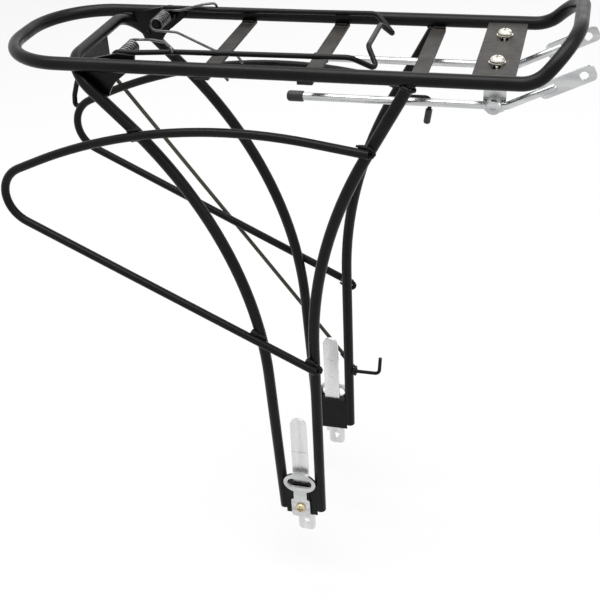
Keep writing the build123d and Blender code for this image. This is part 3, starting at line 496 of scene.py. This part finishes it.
def platform_welds(side):
    """Beads of the front leg, cross bar, strips and plate under one rail."""
    x, z = FRONT_LEG_TOP
    beads = [ring_bead((x, side * RAIL_Y, z), LEG_TOP_AXIS, LEG_R + LEG_TOP_OUT, LEG_TOP_BEAD_R)]
    x, y, z = CROSS_BAR_MEETS
    bar_y = side * (y - CROSS_BAR_IN)
    rear_up, front_up = CROSS_BAR_UP
    ends = [(x - CROSS_BAR_HALF, bar_y, z + rear_up), (x + CROSS_BAR_HALF, bar_y, z + front_up)]
    beads.append(weld_bead(ends, CROSS_BAR_BEAD_R))
    edge_y = side * (RAIL_Y - RAIL_R + STRIP_BEAD_OUT)
    strip_z = RAIL_Z - RAIL_R + STRIP_BEAD_UP
    for x in STRIP_X:
        ends = [(x + t, edge_y, strip_z) for t in (-STRIP_HALF_W, STRIP_HALF_W)]
        beads.append(weld_bead(ends, STRIP_BEAD_R))
    plate_y = side * (RAIL_Y - RAIL_R - PLATE_BEAD_IN)
    for start, inward in zip(PLATE_X, (1, -1)):
        ends = [(start + inward * t, plate_y, PLATE_UNDER_Z) for t in PLATE_BEAD_RUN]
        beads.append(weld_bead(ends, PLATE_BEAD_R))
    return beads


def weld_beads():
    """All beads of the frame as one mesh."""
    beads = []
    for side in (-1, 1):
        beads += hoop_welds(side) + platform_welds(side)
    for x, z in HOOK_BASES:
        beads.append(ring_bead((x, RAIL_Y, z), (1, 0, 0), HOOK_WIRE_R + HOOK_BEAD_OUT, HOOK_BEAD_R))
    vertices, faces = [], []
    for bead_vertices, bead_faces in beads:
        base = len(vertices)
        vertices += [v * MM for v in bead_vertices]
        faces += [tuple(base + k for k in face) for face in bead_faces]
    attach(add_mesh("weld_beads", vertices, faces, "frame_paint"), "frame")


def coil_line(y_start):
    """Middle line of the spring's turns, from the bottom of the pin to its top."""
    count = int(SPRING_TURNS * TURN_STEPS)
    line = []
    for i in range(count + 1):
        turn = 2 * pi * SPRING_TURNS * i / count
        y = y_start + SPRING_PITCH * SPRING_TURNS * i / count
        line.append(Vector((PIVOT_X - SPRING_R * sin(turn), y, PIVOT_Z - SPRING_R * cos(turn))))
    return line


def clamp_spring(word, side):
    """The turns are built in place and stay fixed; the upper leg goes with the clamp."""
    y_start = -SPRING_OUTER_Y if side < 0 else SPRING_OUTER_Y - SPRING_TURNS * SPRING_PITCH
    coil = coil_line(y_start)
    first, last = coil[0], coil[-1]
    slope = SPRING_PITCH / (2 * pi * SPRING_R)
    into = Vector((-1, slope, 0)).normalized()
    out = Vector((1, slope, 0)).normalized()
    wire_r = SPRING_WIRE_D / 2
    under = STRIP_BOTTOM_Z - wire_r - SPRING_LEG_GAP
    lean = 0.0 if side < 0 else LEFT_LEG_LEAN

    def low_point(x, z):
        return (x, first.y + lean * (x - first.x) / (STRIP_FRONT_X - first.x), z)

    low_leg = [
        low_point(STRIP_FRONT_X + 2 * SPRING_TAIL_X, under - SPRING_TAIL_DROP),
        low_point(STRIP_FRONT_X + SPRING_TAIL_X, under),
        low_point(STRIP_REAR_X - SPRING_TAIL_X, under),
        first - into * SPRING_LOW_RUN,
        first - into * SPRING_LEAD,
    ]
    arm_y = side * CLAMP_ARM_Y
    over = PIVOT_Z + EYE_R + CLAMP_RISE + CLAMP_WIRE_D / 2 + wire_r + SPRING_LEG_GAP
    beyond = arm_y + side * (CLAMP_WIRE_D / 2 + wire_r + SPRING_LEG_GAP + SPRING_HOOK_SPREAD)
    tip_y = beyond + side * SPRING_HOOK_SPREAD / 2
    high_leg = [
        last,
        last + out * SPRING_HIGH_RUN,
        (CLAMP_TAPER_X - SPRING_TURN_IN, last.y + SPRING_TURN_IN_SHARE * (arm_y - last.y), over),
        (CLAMP_TAPER_X, beyond, over),
        (CLAMP_TAPER_X + SPRING_HOOK_REACH, tip_y, over - SPRING_HOOK_DROP),
    ]
    low_line = rounded(low_leg, [SPRING_HOOK_BEND, SPRING_LEG_BEND, SPRING_LEG_BEND])
    turns = tube(f"{word}_spring_turns", low_line + coil, wire_r, "spring_steel")
    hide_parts(f"{word}_clamp_spring")
    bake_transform(turns)
    high_line = rounded(high_leg, [SPRING_LEG_BEND, SPRING_HOOK_BEND, SPRING_HOOK_BEND])
    leg = tube(f"{word}_spring_leg", high_line, wire_r, "spring_steel")
    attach(leg, "clamp")


def elastic_cord():
    """The taut cord between the hook on the left hoop and the ring on the lower pump hook."""
    top, low = Vector(CORD_TOP) * MM, Vector(CORD_LOW) * MM
    curve = bpy.data.curves.new("elastic_cord_cover", "CURVE")
    curve.dimensions = "3D"
    curve.bevel_depth = CORD_D / 2 * MM
    curve.bevel_resolution = 6
    curve.use_fill_caps = True
    curve.materials.append(MATERIALS["cord_fabric"])
    spline = curve.splines.new("NURBS")
    spline.points.add(CORD_POINTS - 1)
    for i, point in enumerate(spline.points):
        place = top.lerp(low, i / (CORD_POINTS - 1))
        point.co = (*place, 1)
    spline.order_u = 3
    spline.use_endpoint_u = True
    piece = bpy.data.objects.new("elastic_cord_cover", curve)
    bpy.context.scene.collection.objects.link(piece)
    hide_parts("elastic_cord")
    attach(piece, "frame")


def floor():
    """A wide flat floor."""
    half = FLOOR_SIZE / 2
    corners = [(x * half, y * half, FLOOR_Z) for x, y in ((-1, -1), (1, -1), (1, 1), (-1, 1))]
    mesh = bpy.data.meshes.new("studio_floor")
    mesh.from_pydata(corners, [], [(0, 1, 2, 3)])
    mesh.materials.append(floor_material())
    ground = bpy.data.objects.new("studio_floor", mesh)
    bpy.context.scene.collection.objects.link(ground)


def area_light(name, place, width, depth, power):
    """A soft lamp that faces the object."""
    light = bpy.data.lights.new(name, "AREA")
    light.shape = "RECTANGLE"
    light.size = width
    light.size_y = depth
    light.energy = power
    lamp = bpy.data.objects.new(name, light)
    lamp.location = place
    facing = Vector(LAMP_TARGET) - Vector(place)
    lamp.rotation_euler = facing.to_track_quat("-Z", "Y").to_euler()
    bpy.context.scene.collection.objects.link(lamp)


def studio():
    """Soft lamps and an even world, dim as light and white where it is seen."""
    for lamp in LAMPS:
        area_light(*lamp)
    world = bpy.data.worlds.new("studio_world")
    world.use_nodes = True
    sky = world.node_tree.nodes["Background"]
    sky.inputs["Color"].default_value = (1.0, 1.0, 1.0, 1)
    total = world.node_tree.nodes.new("ShaderNodeMath")
    total.operation = "ADD"
    total.inputs[1].default_value = WORLD_STRENGTH
    world.node_tree.links.new(seen_share(world.node_tree, 1 - WORLD_STRENGTH), total.inputs[0])
    world.node_tree.links.new(total.outputs[0], sky.inputs["Strength"])
    bpy.context.scene.world = world


def camera():
    """The camera at the photo's viewing angle."""
    view = bpy.data.cameras.new("photo_camera")
    view.sensor_width = SENSOR_WIDTH
    view.lens = CAMERA_LENS
    seat = bpy.data.objects.new("photo_camera", view)
    turn = Matrix((CAMERA_RIGHT, CAMERA_UP, CAMERA_BACK)).transposed()
    seat.matrix_world = Matrix.Translation(CAMERA_AT) @ turn.to_4x4()
    scene = bpy.context.scene
    scene.collection.objects.link(seat)
    scene.camera = seat
    scene.view_settings.view_transform = "Standard"


dress_nodes()
for word, side in (("right", -1), ("left", 1)):
    clamp_spring(word, side)
weld_beads()
elastic_cord()
floor()
studio()
camera()
